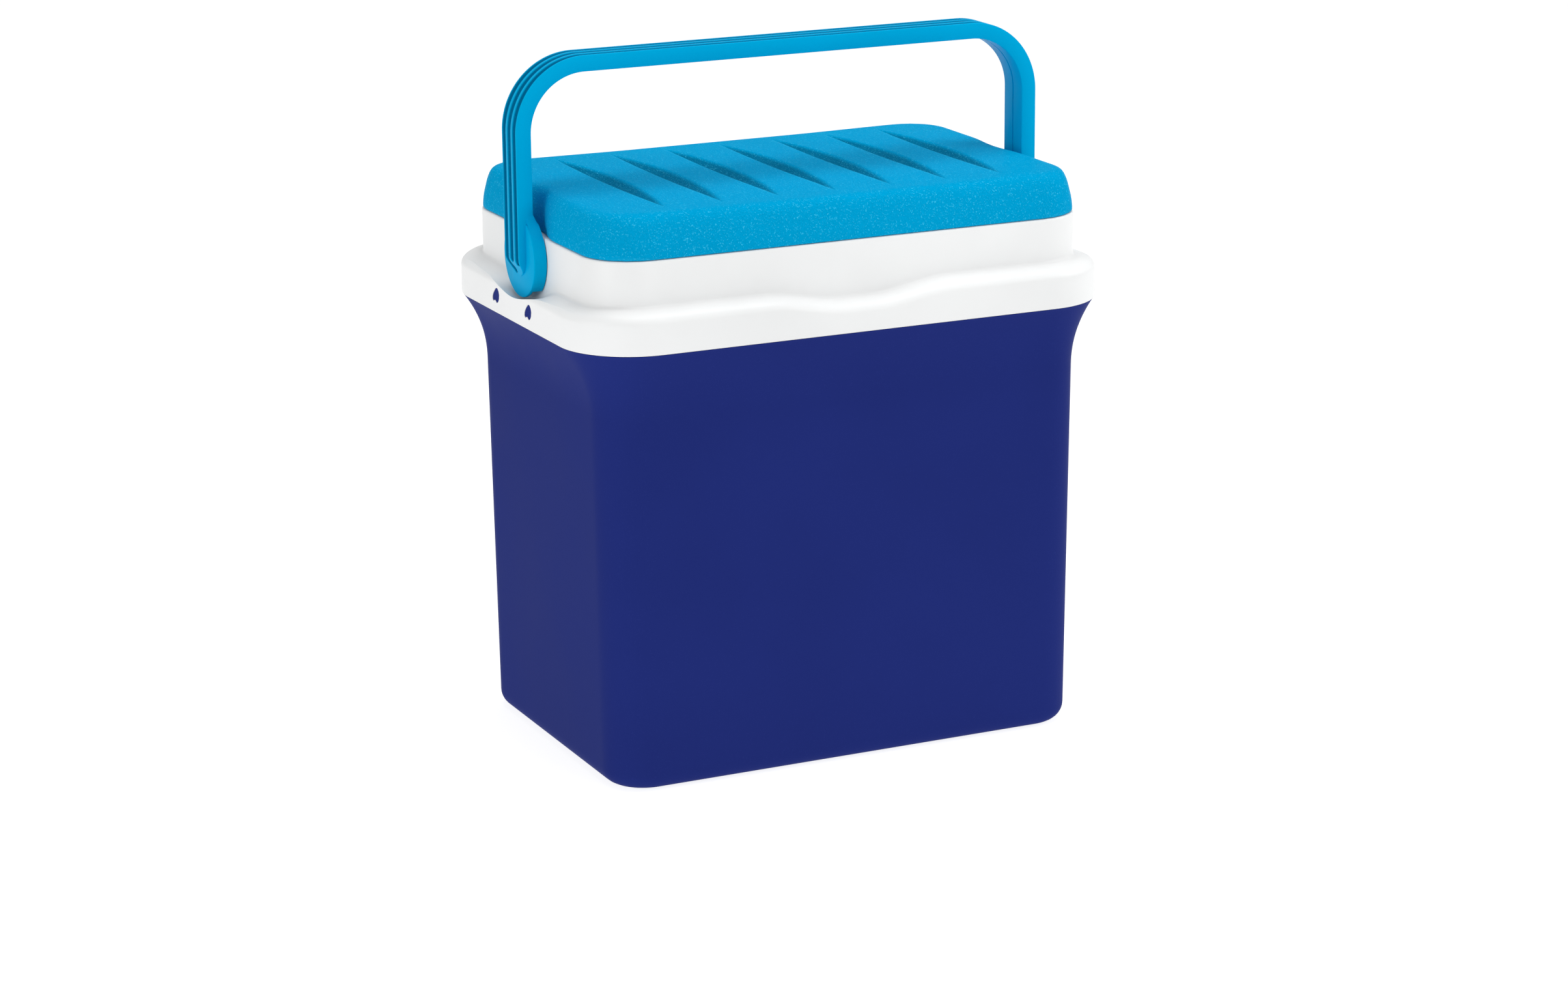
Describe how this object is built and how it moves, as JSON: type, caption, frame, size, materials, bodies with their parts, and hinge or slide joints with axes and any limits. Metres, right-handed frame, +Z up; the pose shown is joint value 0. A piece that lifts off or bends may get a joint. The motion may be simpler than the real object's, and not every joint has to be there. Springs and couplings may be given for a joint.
{
  "type": "cooler chest",
  "caption": "Tall insulated picnic cooler: tapered body with a flared top, stepped collar, lift-off lid with leaf-shaped grooves, and a fluted U-shaped carrying handle on two pivots.",
  "frame": {"origin": "centre of the base on the floor, under the middle of the body", "axes": "+X along the long side, towards the right-hand pivot; +Y towards the back; +Z up, the tallest way with the handle upright"},
  "size_m": [0.4, 0.2756, 0.4895],
  "materials": {
    "body_plastic": "satin navy moulded polypropylene",
    "white_plastic": "smooth white moulded polypropylene, soft gloss",
    "lid_plastic": "cyan moulded polypropylene with a fine orange-peel grain",
    "handle_plastic": "cyan moulded polypropylene, smooth satin",
    "foam": "rigid polyurethane foam, hidden between the walls"
  },
  "bodies": {
    "body": {"outer_body": "body_plastic", "body_insulation": "foam", "inner_tub": "white_plastic"},
    "lid": {"lid_cover": "lid_plastic", "lid_insulation": "foam", "lid_liner": "white_plastic"},
    "handle": {"carry_handle": "handle_plastic"}
  },
  "joints": [
    {"name": "handle_swing", "type": "hinge", "parent": "body", "child": "handle", "pos_m": [0, 0, 0.353], "axis": [1, 0, 0], "range_deg": [-87, 87]},
    {"name": "lid_lift", "type": "slide", "parent": "body", "child": "lid", "axis": [0, 0, 1], "range_m": [0, 0.05]}
  ]
}
